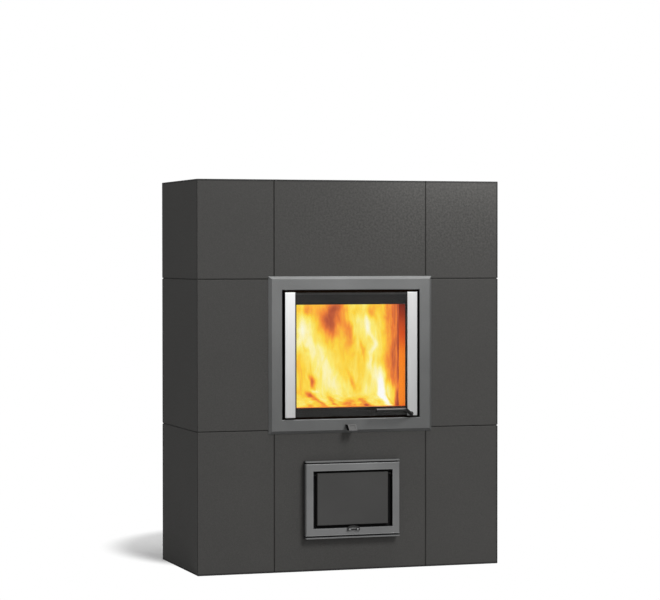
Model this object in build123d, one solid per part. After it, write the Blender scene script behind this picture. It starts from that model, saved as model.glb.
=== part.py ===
from build123d import *
import math
import os

# A free-standing tiled stove with a glazed fire door and an ash hatch, in millimetres.
# X runs to the right, Y towards the back and Z up. The origin is on the floor, under the
# middle of the shell. The letter d is a distance outwards from the front tile faces, so
# pieces behind those faces have a negative d.

# ---------------------------------------------------------------- shell of large tiles
shell_width = 1000.0
shell_depth = 440.0
bottom_row_height = 446.0
middle_row_height = 473.0
top_row_height = 311.0
tile_thickness = 45.0
tile_arris = 1.5
joint_width = 2.0
joint_recess = 3.0
upright_joint_x = 252.0
cover_thickness = 30.0
cover_clearance = 0.5

# ---------------------------------------------------------------- refractory core
core_clearance = 2.0
base_slab_height = 50.0
plinth_width = 90.0
plinth_inset = 8.0
ash_floor_thickness = 32.0
ash_side_wall = 128.0
ash_rear_wall = 43.0
lintel_clearance = 3.0
grate_opening_width = 180.0
grate_opening_depth = 160.0
grate_thickness = 20.0
grate_bearing = 12.0
grate_clearance = 0.5
grate_slots = 9
grate_slot_width = 9.0
grate_border = 16.0
centre_to_side_gap = 2.0
throat_clearance = 0.5
firebox_rear_lining = 63.0
lining_front_setback = 5.0
lining_above_throat = 15.5
baffle_thickness = 22.0
smoke_passage = 52.0
smoke_block_depth = 60.0
storage_courses = 4
core_cap_thickness = 30.0
insulation_thickness = 35.0

# ---------------------------------------------------------------- flue collar
flue_bore_radius = 75.5
flue_wall = 3.0
flue_hole_clearance = 1.5
flue_flange_radius = 88.0
flue_flange_thickness = 5.0
flue_flange_clearance = 2.0

# ---------------------------------------------------------------- fire door frame
frame_lap_side = 19.0
frame_lap_top = 8.5
frame_lap_foot = 11.5
frame_depth = 10.0
frame_lip = 1.0
frame_face_side = 33.0
frame_face_top = 33.0
frame_face_bottom = 34.5
frame_inner_bevel = 2.0

# ---------------------------------------------------------------- cassette behind the frame
cassette_wall = 4.0
cassette_set_back = 8.0
cassette_sump = 13.0
seat_depth = 18.0
seat_thickness = 6.0
throat_wall = 4.0
throat_depth = 60.0
throat_margin = 2.0

# ---------------------------------------------------------------- fire door leaf
leaf_gap_side = 8.5
leaf_gap_top = 7.5
leaf_gap_bottom = 6.0
leaf_proud = 2.4
leaf_back_depth = 12.0
strip_width = 33.2
strip_thickness = 3.0
strip_arris = 0.6
strip_over_glass = 4.0
glass_thickness = 4.0
glass_clearance = 1.0
glass_bevel = 1.5
gasket_thickness = 2.0
gasket_inset = 2.0
window_side_band = 5.3
window_top_band = 38.5
window_bottom_band = 30.0
seal_width = 9.0
seal_groove = 4.0
seal_offset = 3.5
seal_clearance = 0.3
seal_corner_radius = 22.0
seal_crown_bevel = 2.2
running_clearance = 0.05
face_clearance = 0.3

# ---------------------------------------------------------------- fire door hinges
hinge_inset = 7.5
hinge_depth = 4.0
hinge_pin_radius = 3.0
hinge_pin_in_leaf = 15.0
hinge_pin_in_frame = 12.5
hinge_collar_radius = 4.5

# ---------------------------------------------------------------- fire door handle and latch
handle_x = 198.0
handle_above_leaf_foot = 6.0
handle_rod_radius = 5.5
handle_boss_radius = 6.5
handle_boss_length = 7.0
handle_boss_bevel = 1.5
handle_leg_bite = 2.5
handle_leg_drop = 3.0
handle_elbow_x = 165.0
handle_end_x = 65.0
handle_rise = 16.0
handle_reach = 58.0
handle_bend_radius = 15.0
handle_end_bevel = 1.2
spindle_radius = 4.0
spindle_end_cover = 2.0
tongue_thickness = 4.0
tongue_hub_radius = 6.0
tongue_tip_radius = 4.0
tongue_length = 21.5
keeper_length = 14.0
keeper_height = 15.0
keeper_clearance = 0.8
keeper_reach = 2.0
keeper_round = 4.0

# ---------------------------------------------------------------- air control
air_control_x = -6.2
duct_half_width = 74.0
duct_wall = 1.5
duct_floor_height = 8.5
duct_rear_y = -95.0
duct_front_gap = 1.0
duct_groove_clearance = 2.0
air_port_width = 30.0
air_port_length = 30.0
air_port_pitch = 38.0
air_port_margin = 4.5
slider_thickness = 3.0
slider_side_clearance = 3.0
slider_lap = 2.5
slider_rod_width = 22.0
slider_slot_clearance = 0.5
tab_top_width = 29.0
tab_foot_width = 24.5
tab_height = 18.0
tab_top_z = 461.3
tab_top_depth = 32.0
tab_foot_depth = 43.0
tab_thickness_y = 21.5
tab_socket_depth = 14.0
tab_dish = 1.2
tab_rim = 3.5
tab_dish_radius = 3.0

# ---------------------------------------------------------------- ash hatch
hatch_half_width = 155.0
hatch_bottom_z = 104.0
hatch_top_z = 348.0
hatch_depth = 25.0
hatch_rim = 5.6
hatch_rim_gap = 2.9
hatch_back_thickness = 8.6
hatch_face_side = 23.5
hatch_face_top = 23.0
hatch_face_bottom = 24.0
hatch_sheet = 3.0
hatch_gap_side = 14.0
hatch_gap_top = 7.2
hatch_gap_bottom = 8.8
hatch_bevel = 1.5
sleeve_inset = 8.0
sleeve_rise = 4.7
sleeve_wall = 4.0
sleeve_tile_gap = 10.0
ash_leaf_set_back = 3.0
ash_leaf_sheet = 3.0
ash_leaf_flange = 2.0
ash_leaf_depth = 10.5
ash_liner_thickness = 10.0
ash_liner_drop = 1.5
ash_hinge_from_top = 6.0
ash_hinge_from_face = 5.0
ash_pin_radius = 2.0
ash_pin_in_leaf = 4.0

# ---------------------------------------------------------------- ash hatch latch
bow_half_width = 20.0
bow_leg_width = 4.5
bow_crown_height = 3.6
bow_sag = 5.0
bow_thickness = 3.0
bow_top_clearance = 2.5
bow_eye_radius = 3.5
bow_pin_radius = 1.5
bow_pin_depth = 4.5
bow_pin_drop = 5.8
latch_ear_width = 4.5
latch_side_clearance = 0.3

# ---------------------------------------------------------------- ash pan
pan_side_clearance = 5.0
pan_height = 100.0
pan_sheet = 2.0
pan_length = 280.0
pan_rear_gap = 8.0
pan_rim = 5.0
pan_handle_width = 90.0
pan_handle_reach = 24.0
pan_handle_bend = 12.0
pan_handle_height = 16.0
pan_handle_strap = 3.0
pan_handle_drop = 30.0

# ---------------------------------------------------------------- derived places
half_width = shell_width / 2
front_y = -shell_depth / 2
back_y = shell_depth / 2
inner_x = half_width - tile_thickness
inner_front_y = front_y + tile_thickness
inner_back_y = back_y - tile_thickness
lower_joint_z = bottom_row_height
upper_joint_z = lower_joint_z + middle_row_height
shell_height = upper_joint_z + top_row_height
half_joint = joint_width / 2
cut_past = 1.0
tile_rows = {
    "bottom": (0.0, lower_joint_z - half_joint),
    "middle": (lower_joint_z + half_joint, upper_joint_z - half_joint),
    "top": (upper_joint_z + half_joint, shell_height),
}
centre_tile_half = upright_joint_x - half_joint
corner_tile_x = upright_joint_x + half_joint

core_front_y = inner_front_y + core_clearance
core_back_y = inner_back_y - core_clearance
core_x = inner_x - core_clearance
centre_core_half = upright_joint_x - centre_to_side_gap - core_clearance
storage_x = centre_core_half + centre_to_side_gap


def out(d):
    """The Y of a plane that stands d outwards from the front tile faces."""
    return front_y - d


def block(x, y, z):
    """A box between two X, two Y and two Z values."""
    spans = [sorted(span) for span in (x, y, z)]
    size = [high - low for low, high in spans]
    centre = [(low + high) / 2 for low, high in spans]
    return Pos(*centre) * Box(*size)


def panel(opening, y):
    """An upright slab with the outline (half width, bottom, top) between two Y values."""
    half, low, high = opening
    return block((-half, half), y, (low, high))


def ring(outer, inner, y):
    """An upright slab with a rectangular window."""
    return panel(outer, y) - panel(inner, y)


def grow(opening, side, bottom=None, top=None):
    """The outline (half width, bottom, top) made larger by the given amounts."""
    bottom = side if bottom is None else bottom
    top = side if top is None else top
    half, low, high = opening
    return (half + side, low - bottom, high + top)


def rod_x(x, y, z, radius):
    """A round bar along X."""
    return Pos((x[0] + x[1]) / 2, y, z) * Rot(0, 90, 0) * Cylinder(radius, abs(x[1] - x[0]))


def rod_y(x, y, z, radius):
    """A round bar along Y."""
    return Pos(x, (y[0] + y[1]) / 2, z) * Rot(90, 0, 0) * Cylinder(radius, abs(y[1] - y[0]))


def rod_z(x, y, z, radius):
    """A round bar along Z."""
    return Pos(x, y, (z[0] + z[1]) / 2) * Cylinder(radius, abs(z[1] - z[0]))


def mirrored(shape):
    """The same piece on the other side of the middle plane."""
    return mirror(shape, about=Plane.YZ)


def bevel(solid, faces, size):
    """Break every edge round the given faces once, also where two of them meet."""
    edges = []
    for face in faces:
        for edge in face.edges():
            if edge not in edges:
                edges.append(edge)
    return chamfer(edges, size)


def group(*solids):
    """Separate solids of one kind that share a node."""
    return Compound(children=list(solids))


# The window outlines of the fire door, from the frame inwards
frame_outline = (
    upright_joint_x + frame_lap_side,
    lower_joint_z - frame_lap_foot,
    upper_joint_z + frame_lap_top,
)
frame_opening = grow(
    frame_outline,
    -(frame_face_side + frame_depth),
    -(frame_face_bottom + frame_depth),
    -(frame_face_top + frame_depth),
)
leaf_outline = grow(frame_opening, -leaf_gap_side, -leaf_gap_bottom, -leaf_gap_top)
window = grow(
    leaf_outline,
    -(strip_width + window_side_band),
    -window_bottom_band,
    -window_top_band,
)
throat_inner = grow(window, throat_margin)
throat_outer = grow(throat_inner, throat_wall)
cassette_inner = grow(frame_opening, cassette_set_back, cassette_sump, cassette_set_back)
cassette_outer = grow(cassette_inner, cassette_wall)

leaf_face_d = frame_depth + leaf_proud
strip_back_d = leaf_face_d - strip_thickness
glass_back_d = strip_back_d - glass_thickness
leaf_ring_d = glass_back_d - gasket_thickness

hinge_x = -(leaf_outline[0] - hinge_inset)
hinge_d = hinge_depth
handle_z = leaf_outline[1] + handle_above_leaf_foot

# The outlines of the ash hatch, from the frame inwards
hatch_outline = (hatch_half_width, hatch_bottom_z, hatch_top_z)
rim_pitch = hatch_rim + hatch_rim_gap
cover_outline = grow(hatch_outline, 0.0, -rim_pitch, -rim_pitch)
hatch_opening = grow(cover_outline, -hatch_face_side, -hatch_face_bottom, -hatch_face_top)
ash_leaf_outline = grow(hatch_opening, -hatch_gap_side, -hatch_gap_bottom, -hatch_gap_top)
ash_leaf_face_d = hatch_depth - ash_leaf_set_back
sleeve_inner = grow(ash_leaf_outline, -sleeve_inset, -sleeve_rise, -sleeve_inset)
sleeve_outer = grow(sleeve_inner, sleeve_wall)

# The levels of the core, from the floor up
ash_floor_z = sleeve_inner[1]
ash_floor_under_z = ash_floor_z - ash_floor_thickness
hearth_under_z = lower_joint_z
hearth_z = throat_outer[1] - throat_clearance
lining_top_z = throat_outer[2] + lining_above_throat
baffle_top_z = lining_top_z + baffle_thickness
core_top_z = shell_height - cover_thickness
core_cap_top_z = core_top_z - insulation_thickness
storage_top_z = core_cap_top_z - core_cap_thickness
flue_axis_z = storage_top_z - flue_flange_clearance - flue_flange_radius
ash_chamber_half = centre_core_half - ash_side_wall
firebox_half = throat_outer[0] + throat_clearance


# ---------------------------------------------------------------- shell
def corner_tile(row):
    """The right-hand corner tile: a front leg and a side leg over the whole depth."""
    z = tile_rows[row]
    tile = block((corner_tile_x, half_width), (front_y, inner_front_y), z)
    tile += block((inner_x, half_width), (front_y, back_y), z)
    shown = [
        tile.faces().sort_by(Axis.Y)[0],
        tile.faces().sort_by(Axis.X)[-1],
        tile.faces().sort_by(Axis.Y)[-1],
    ]
    return bevel(tile, shown, tile_arris)


def front_tile(row):
    """The tile between the corner tiles, above or below the fire door."""
    tile = block((-centre_tile_half, centre_tile_half), (front_y, inner_front_y), tile_rows[row])
    tile = bevel(tile, [tile.faces().sort_by(Axis.Y)[0]], tile_arris)
    if row == "bottom":
        hole = grow(sleeve_outer, sleeve_tile_gap)
        tile -= panel(hole, (front_y - cut_past, inner_front_y + cut_past))
    return tile


def back_tile(row):
    """The plain tile that closes the back between the side legs."""
    half = inner_x - joint_width
    tile = block((-half, half), (inner_back_y, back_y), tile_rows[row])
    tile = bevel(tile, [tile.faces().sort_by(Axis.Y)[-1]], tile_arris)
    if row == "top":
        radius = flue_bore_radius + flue_wall + flue_hole_clearance
        tile -= rod_y(0, (inner_back_y - cut_past, back_y + cut_past), flue_axis_z, radius)
    return tile


def cover_tile(x):
    """One of the tiles that close the top, flush with the rim of the shell."""
    y = (inner_front_y + cover_clearance, inner_back_y - cover_clearance)
    tile = block(x, y, (core_top_z, shell_height))
    return bevel(tile, [tile.faces().sort_by(Axis.Z)[-1]], tile_arris)


def joint_mortar():
    """The bed joints round the shell and the upright joints between the tiles."""
    outer_x = half_width - joint_recess
    outer_y = back_y - joint_recess
    strips = []
    for joint_z in (lower_joint_z, upper_joint_z):
        z = (joint_z - half_joint, joint_z + half_joint)
        bed = block((-outer_x, outer_x), (-outer_y, outer_y), z)
        bed -= block((-inner_x, inner_x), (inner_front_y, inner_back_y), z)
        bed -= block((-corner_tile_x, corner_tile_x), (front_y, inner_front_y), z)
        strips.extend(bed.solids())
    for row in tile_rows:
        low, high = tile_rows[row]
        z = (max(low, joint_recess), min(high, shell_height - joint_recess))
        for side in (-1, 1):
            back_joint = (side * (inner_x - joint_width), side * inner_x)
            strips.append(block(back_joint, (inner_back_y, outer_y), z))
            if row != "middle":
                front_joint = (side * centre_tile_half, side * corner_tile_x)
                strips.append(block(front_joint, (-outer_y, inner_front_y), z))
    return group(*strips)


# ---------------------------------------------------------------- core
def plinth_blocks():
    """Two sleepers that carry the floor of the ash chamber."""
    inner = centre_core_half - plinth_inset - plinth_width
    sleeper = block(
        (inner, inner + plinth_width),
        (core_front_y, core_back_y),
        (base_slab_height, ash_floor_under_z),
    )
    return group(sleeper, mirrored(sleeper))


def grate_seat():
    """The rebate round the grate opening, cut into the hearth bricks."""
    half_x = grate_opening_width / 2 + grate_bearing
    half_y = grate_opening_depth / 2 + grate_bearing
    z = (hearth_z - grate_thickness, hearth_z + cut_past)
    return block((-half_x, half_x), (-half_y, half_y), z)


def hearth_side_brick():
    """The right-hand brick of the hearth floor."""
    brick = block(
        (grate_opening_width / 2, centre_core_half),
        (core_front_y, core_back_y),
        (hearth_under_z, hearth_z),
    )
    return brick - grate_seat()


def hearth_cross_bricks():
    """The bricks before and behind the grate, with the groove for the air duct."""
    half_x = grate_opening_width / 2
    half_y = grate_opening_depth / 2
    groove_half = duct_half_width + duct_groove_clearance
    groove_top = cassette_outer[1] + duct_groove_clearance
    bricks = []
    for y in ((core_front_y, -half_y), (half_y, core_back_y)):
        brick = block((-half_x, half_x), y, (hearth_under_z, hearth_z))
        brick -= block((-groove_half, groove_half), y, (hearth_under_z, groove_top))
        bricks.append(brick - grate_seat())
    return group(*bricks)


def fire_grate():
    """A flat cast grate with slots from front to back."""
    half_x = grate_opening_width / 2 + grate_bearing - grate_clearance
    half_y = grate_opening_depth / 2 + grate_bearing - grate_clearance
    grate = block((-half_x, half_x), (-half_y, half_y), (hearth_z - grate_thickness, hearth_z))
    slot_length = 2 * (half_y - grate_border)
    pitch = 2 * (half_x - grate_border) / grate_slots
    for index in range(grate_slots):
        x = (index - (grate_slots - 1) / 2) * pitch
        outline = Pos(x, 0) * Rot(0, 0, 90) * SlotOverall(slot_length, grate_slot_width)
        slot = extrude(outline, grate_thickness + 2 * cut_past)
        grate -= Pos(0, 0, hearth_z - grate_thickness - cut_past) * slot
    return grate


def firebox_side_lining():
    """The fireclay slab on the right of the fire."""
    front = core_front_y + lining_front_setback
    rear = core_back_y - firebox_rear_lining
    return block((firebox_half, centre_core_half), (front, rear), (hearth_z, lining_top_z))


def firebox_rear_slab():
    """The fireclay slab behind the fire."""
    front = core_back_y - firebox_rear_lining
    half = centre_core_half
    return block((-half, half), (front, core_back_y), (hearth_z, lining_top_z))


def baffle_plate():
    """The plate over the fire; the smoke turns round its front edge."""
    front = core_front_y + smoke_block_depth + smoke_passage
    half = centre_core_half
    return block((-half, half), (front, core_back_y), (lining_top_z, baffle_top_z))


def smoke_block(at_front):
    """The blocks before and behind the smoke chamber."""
    half = centre_core_half
    if at_front:
        y = (core_front_y, core_front_y + smoke_block_depth)
        return block((-half, half), y, (lining_top_z, storage_top_z))
    y = (core_back_y - smoke_block_depth, core_back_y)
    body = block((-half, half), y, (baffle_top_z, storage_top_z))
    radius = flue_bore_radius + flue_wall + flue_hole_clearance
    return body - rod_y(0, (y[0] - cut_past, y[1] + cut_past), flue_axis_z, radius)


def storage_blocks():
    """The right-hand stack of heat-storing blocks."""
    course = (storage_top_z - base_slab_height) / storage_courses
    stack = []
    for index in range(storage_courses):
        z = base_slab_height + index * course
        stack.append(block((storage_x, core_x), (core_front_y, core_back_y), (z, z + course)))
    return group(*stack)


def flue_collar():
    """The round socket for the flue pipe, flanged against the smoke chamber."""
    outer = flue_bore_radius + flue_wall
    flange_y = core_back_y - smoke_block_depth
    start = flange_y - flue_flange_thickness
    collar = rod_y(0, (start, back_y), flue_axis_z, outer)
    collar += rod_y(0, (start, flange_y), flue_axis_z, flue_flange_radius)
    return collar - rod_y(0, (start - cut_past, back_y + cut_past), flue_axis_z, flue_bore_radius)


# ---------------------------------------------------------------- fire door frame
def hinge_pin_spans():
    """The Z spans of the lower and the upper hinge pin."""
    lower = (frame_opening[1] - hinge_pin_in_frame, leaf_outline[1] + hinge_pin_in_leaf)
    upper = (leaf_outline[2] - hinge_pin_in_leaf, frame_opening[2] + hinge_pin_in_frame)
    return lower, upper


def door_frame():
    """The mitred frame with sloping outer edges, the pin holes and the slot of the rod."""
    half, low, high = frame_outline
    centre_z = (low + high) / 2
    slope = frame_depth - frame_lip
    plate = panel(frame_outline, (out(frame_lip), out(0)))
    back_plane = Plane(origin=(0, out(frame_lip), centre_z), x_dir=(1, 0, 0), z_dir=(0, -1, 0))
    face_plane = Plane(origin=(0, out(frame_depth), centre_z), x_dir=(1, 0, 0), z_dir=(0, -1, 0))
    back_outline = back_plane * Rectangle(2 * half, high - low)
    face_outline = face_plane * Rectangle(2 * (half - slope), high - low - 2 * slope)
    frame = plate + loft([back_outline.face(), face_outline.face()])
    frame -= panel(frame_opening, (out(frame_depth + cut_past), out(-cut_past)))
    face = frame.faces().sort_by(Axis.Y)[0]
    frame = chamfer(face.inner_wires()[0].edges(), frame_inner_bevel)
    for span in hinge_pin_spans():
        frame -= rod_z(hinge_x, out(hinge_d), span, hinge_pin_radius)
    return frame - slider_rod(slider_slot_clearance)


def door_hinge_pins():
    """Two fixed pins, each with a collar that keeps the leaf off the frame."""
    lower, upper = hinge_pin_spans()
    pins = []
    for span in (lower, upper):
        pins.append(rod_z(hinge_x, out(hinge_d), span, hinge_pin_radius))
    collar = (frame_opening[1], leaf_outline[1] - face_clearance)
    pins[0] += rod_z(hinge_x, out(hinge_d), collar, hinge_collar_radius)
    return group(*pins)


def door_cassette():
    """The steel box behind the frame, with the seat of the seal and the throat."""
    cassette = ring(cassette_outer, cassette_inner, (out(0), out(-seat_depth)))
    seat = (out(-seat_depth), out(-seat_depth - seat_thickness))
    cassette += ring(cassette_outer, throat_inner, seat)
    throat = (out(-seat_depth - seat_thickness), out(-throat_depth))
    return cassette + ring(throat_outer, throat_inner, throat)


# ---------------------------------------------------------------- fire door leaf
def seal_ring(width, y):
    """A rounded rectangular ring that follows the seal line of the leaf."""
    line = grow(throat_inner, seal_offset + seal_width / 2)
    centre_z = (line[1] + line[2]) / 2
    plane = Plane(origin=(0, y[0], centre_z), x_dir=(1, 0, 0), z_dir=(0, -1, 0))
    height = line[2] - line[1]
    outer = RectangleRounded(2 * line[0] + width, height + width, seal_corner_radius)
    inner_radius = seal_corner_radius - width
    inner = RectangleRounded(2 * line[0] - width, height - width, inner_radius)
    return extrude(plane * (outer - inner), y[0] - y[1])


def door_leaf():
    """The steel ring of the door: side rails, seal groove, pin holes and spindle hole."""
    back = out(-leaf_back_depth)
    leaf = ring(leaf_outline, window, (out(leaf_ring_d), back))
    rail_x = leaf_outline[0] - strip_width + strip_over_glass + glass_clearance
    for side in (-1, 1):
        x = (side * rail_x, side * leaf_outline[0])
        rail = block(x, (out(strip_back_d), out(leaf_ring_d)), leaf_outline[1:])
        leaf += rail
    leaf -= seal_ring(seal_width, (back, back - seal_groove))
    for span in hinge_pin_spans():
        low = max(span[0], leaf_outline[1] - cut_past)
        high = min(span[1], leaf_outline[2] + cut_past)
        if low > leaf_outline[1]:
            low -= face_clearance
        else:
            high += face_clearance
        leaf -= rod_z(hinge_x, out(hinge_d), (low, high), hinge_pin_radius + running_clearance)
    hole = spindle_radius + running_clearance
    return leaf - rod_y(handle_x, (out(leaf_face_d), back + cut_past), handle_z, hole)


def door_glass():
    """The pane, held by the strips at its upright edges, with its level edges ground to a bevel."""
    half = leaf_outline[0] - strip_width + strip_over_glass
    pane = (half, leaf_outline[1] + glass_clearance, leaf_outline[2] - glass_clearance)
    pane = panel(pane, (out(strip_back_d), out(glass_back_d)))
    front = pane.faces().sort_by(Axis.Y)[0]
    return chamfer(front.edges().filter_by(Axis.X), glass_bevel)


def glass_gasket():
    """The flat fibre gasket between the pane and the leaf."""
    half = leaf_outline[0] - strip_width + strip_over_glass - glass_clearance
    outer = (half, leaf_outline[1] + gasket_inset, leaf_outline[2] - gasket_inset)
    inner = grow(window, gasket_inset)
    return ring(outer, inner, (out(glass_back_d), out(leaf_ring_d)))


def door_seal():
    """The rope seal in the back of the leaf, just clear of its seat."""
    groove = out(-leaf_back_depth) - seal_groove
    rope = seal_ring(seal_width, (out(-seat_depth) - seal_clearance, groove))
    crown = rope.faces().sort_by(Axis.Y)[-1]
    return chamfer(crown.edges(), seal_crown_bevel)


def trim_strip():
    """The right-hand brushed strip that clamps the pane to the leaf."""
    x = (leaf_outline[0] - strip_width, leaf_outline[0])
    strip = block(x, (out(leaf_face_d), out(strip_back_d)), leaf_outline[1:])
    return bevel(strip, [strip.faces().sort_by(Axis.Y)[0]], strip_arris)


def trim_strip_with_spindle_hole():
    """The right-hand strip, through which the spindle of the handle passes."""
    hole = spindle_radius + running_clearance
    span = (out(leaf_face_d + cut_past), out(strip_back_d - cut_past))
    return trim_strip() - rod_y(handle_x, span, handle_z, hole)


# ---------------------------------------------------------------- handle and latch
def door_handle():
    """The bent round bar: a boss on the spindle, a leg outwards and a level grip."""
    boss_front = out(leaf_face_d + face_clearance + handle_boss_length)
    boss_back = out(leaf_face_d + face_clearance)
    boss = rod_y(handle_x, (boss_front, boss_back), handle_z, handle_boss_radius)
    boss = chamfer(boss.edges().sort_by(Axis.Y)[0], handle_boss_bevel)
    grip_z = handle_z + handle_rise
    grip_y = out(handle_reach)
    path = FilletPolyline(
        (handle_x, boss_front + handle_leg_bite, handle_z - handle_leg_drop),
        (handle_elbow_x, grip_y, grip_z),
        (handle_end_x, grip_y, grip_z),
        radius=handle_bend_radius,
    )
    start = Plane(origin=path @ 0, z_dir=path % 0)
    bar = sweep(start * Circle(handle_rod_radius), path=path)
    bar = chamfer(bar.edges().sort_by(Axis.X)[0], handle_end_bevel)
    socket = (boss_front + spindle_end_cover, boss_back)
    return boss + bar - rod_y(handle_x, socket, handle_z, spindle_radius)


def latch_tongue():
    """The spindle and the tongue that turns with it behind the leaf."""
    front = out(leaf_face_d + face_clearance + handle_boss_length) + spindle_end_cover
    tongue_front = out(-leaf_back_depth) + face_clearance
    tongue_back = tongue_front + tongue_thickness
    spindle = rod_y(handle_x, (front, tongue_back), handle_z, spindle_radius)
    tip_x = handle_x + tongue_length
    tip_z = handle_z + tongue_hub_radius - tongue_tip_radius
    plane = Plane(origin=(0, tongue_back, 0), x_dir=(1, 0, 0), z_dir=(0, -1, 0))
    hub = Pos(handle_x, handle_z) * Circle(tongue_hub_radius)
    tip = Pos(tip_x, tip_z) * Circle(tongue_tip_radius)
    outline = make_hull(hub.edges() + tip.edges())
    return spindle + extrude(plane * outline, tongue_thickness)


def latch_keeper():
    """The nose on the cassette wall, just above the tip of the tongue."""
    x = (cassette_inner[0] - keeper_length, cassette_inner[0])
    low = handle_z + tongue_hub_radius + keeper_clearance
    y = (out(-leaf_back_depth) - keeper_reach, out(-seat_depth))
    nose = block(x, y, (low, low + keeper_height))
    edge = nose.edges().filter_by(Axis.Y).sort_by(Axis.X)[:2].sort_by(Axis.Z)[0]
    return fillet(edge, keeper_round)


# ---------------------------------------------------------------- air control
def duct_levels():
    """The levels of the duct's foot, of the top of its floor and of its rim."""
    foot = lower_joint_z
    floor_top = foot + duct_floor_height + duct_wall
    rim = cassette_outer[1]
    return foot, floor_top, rim


def air_duct():
    """The sheet channel under the cassette, with the ports that the slider covers."""
    foot, floor_top, rim = duct_levels()
    y = (out(-duct_front_gap), duct_rear_y)
    inner_half = duct_half_width - duct_wall
    duct = block((-duct_half_width, duct_half_width), y, (foot, rim))
    duct -= block((-inner_half, inner_half), (y[0], y[1] - duct_wall), (floor_top, rim))
    duct -= block((-inner_half, inner_half), y, (foot, floor_top - duct_wall))
    port_y = (duct_rear_y - air_port_margin - air_port_length, duct_rear_y - air_port_margin)
    for index in (-1, 0, 1):
        x = air_control_x + index * air_port_pitch
        ports = (x - air_port_width / 2, x + air_port_width / 2)
        duct -= block(ports, port_y, (foot, rim))
    return duct


def slider_rod(clearance):
    """The flat rod of the slider, or with a clearance the slot that it passes."""
    floor_top = duct_levels()[1]
    low = floor_top + face_clearance
    half = slider_rod_width / 2 + clearance
    y = (out(frame_depth + tab_socket_depth), duct_rear_y - air_port_margin)
    x = (air_control_x - half, air_control_x + half)
    return block(x, y, (low - clearance, low + slider_thickness + clearance))


def air_slider():
    """The plate over the ports with its rod."""
    low = duct_levels()[1] + face_clearance
    rear = duct_rear_y - air_port_margin + slider_lap
    front = duct_rear_y - air_port_margin - air_port_length - slider_lap
    half = duct_half_width - duct_wall - slider_side_clearance - abs(air_control_x)
    x = (air_control_x - half, air_control_x + half)
    return block(x, (front, rear), (low, low + slider_thickness)) + slider_rod(0.0)


def air_tab():
    """The sloping finger tab, narrower at its foot and dished on its face."""
    top = tab_top_z
    foot = tab_top_z - tab_height
    centre_plane = Plane(origin=(air_control_x, 0, 0), x_dir=(0, 1, 0), z_dir=(1, 0, 0))
    back_top = out(tab_top_depth - tab_thickness_y)
    back_foot = out(tab_foot_depth - tab_thickness_y)
    profile = Polygon(
        (out(tab_top_depth), top),
        (back_top, top),
        (back_foot, foot),
        (out(tab_foot_depth), foot),
        align=None,
    )
    tab = extrude(centre_plane * profile, tab_top_width / 2, both=True)
    trim = (tab_top_width - tab_foot_width) / 2
    for side in (-1, 1):
        edge_x = air_control_x + side * tab_top_width / 2
        foot_x = edge_x - side * trim
        wedge = Polygon((edge_x, top), (edge_x + side * cut_past, foot), (foot_x, foot), align=None)
        cutter_plane = Plane(origin=(0, out(0), 0), x_dir=(1, 0, 0), z_dir=(0, -1, 0))
        tab -= extrude(cutter_plane * wedge, tab_foot_depth + cut_past)
    slope = math.hypot(tab_foot_depth - tab_top_depth, tab_height)
    face_centre = (
        air_control_x,
        (out(tab_top_depth) + out(tab_foot_depth)) / 2,
        (top + foot) / 2,
    )
    normal = (0, -tab_height, tab_foot_depth - tab_top_depth)
    face_plane = Plane(origin=face_centre, x_dir=(1, 0, 0), z_dir=normal)
    dish = RectangleRounded(tab_foot_width - 2 * tab_rim, slope - 2 * tab_rim, tab_dish_radius)
    tab -= extrude(face_plane * dish, -tab_dish)
    return tab - slider_rod(0.0)


# ---------------------------------------------------------------- ash hatch
def ash_frame_base():
    """The back plate on the tile, its two rims and the sleeve through the tile."""
    back_plate = (out(hatch_back_thickness), out(0))
    base = ring(hatch_outline, sleeve_inner, back_plate)
    half, low, high = hatch_outline
    rim_y = (out(hatch_depth), out(hatch_back_thickness))
    for z in ((low, low + hatch_rim), (high - hatch_rim, high)):
        base += block((-half, half), rim_y, z)
    return base + ring(sleeve_outer, sleeve_inner, (out(0), inner_front_y))


def ash_frame_cover():
    """The folded cover with the window of the leaf and the ears of the latch bow."""
    y = (out(hatch_depth), out(hatch_back_thickness))
    cover = ring(cover_outline, hatch_opening, y)
    channel_y = (out(hatch_depth - hatch_sheet), out(hatch_back_thickness))
    cover -= ring(grow(cover_outline, -hatch_sheet), grow(hatch_opening, hatch_sheet), channel_y)
    face = cover.faces().sort_by(Axis.Y)[0]
    cover = chamfer(face.outer_wire().edges(), hatch_bevel)
    for pin in ash_leaf_pins():
        cover -= pin
    for ear in latch_ears():
        cover += ear
    return cover - latch_pin()


def ash_leaf_pins():
    """The two stub pins on which the leaf hangs."""
    z = ash_leaf_outline[2] - ash_hinge_from_top
    y = out(ash_leaf_face_d - ash_hinge_from_face)
    inner = ash_leaf_outline[0] - ash_pin_in_leaf
    outer = hatch_opening[0] + hatch_sheet
    pin = rod_x((inner, outer), y, z, ash_pin_radius)
    return [pin, mirrored(pin)]


def ash_door_leaf():
    """The pressed leaf: a face plate with a bevelled rim and turned-back flanges."""
    y = (out(ash_leaf_face_d), out(ash_leaf_face_d - ash_leaf_depth))
    leaf = panel(ash_leaf_outline, y)
    leaf = chamfer(leaf.faces().sort_by(Axis.Y)[0].edges(), hatch_bevel)
    tray_y = (out(ash_leaf_face_d - ash_leaf_sheet), out(ash_leaf_face_d - ash_leaf_depth))
    leaf -= panel(grow(ash_leaf_outline, -ash_leaf_flange), tray_y)
    hole_z = ash_leaf_outline[2] - ash_hinge_from_top
    hole_y = out(ash_leaf_face_d - ash_hinge_from_face)
    half = ash_leaf_outline[0] + cut_past
    return leaf - rod_x((-half, half), hole_y, hole_z, ash_pin_radius + running_clearance)


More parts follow.
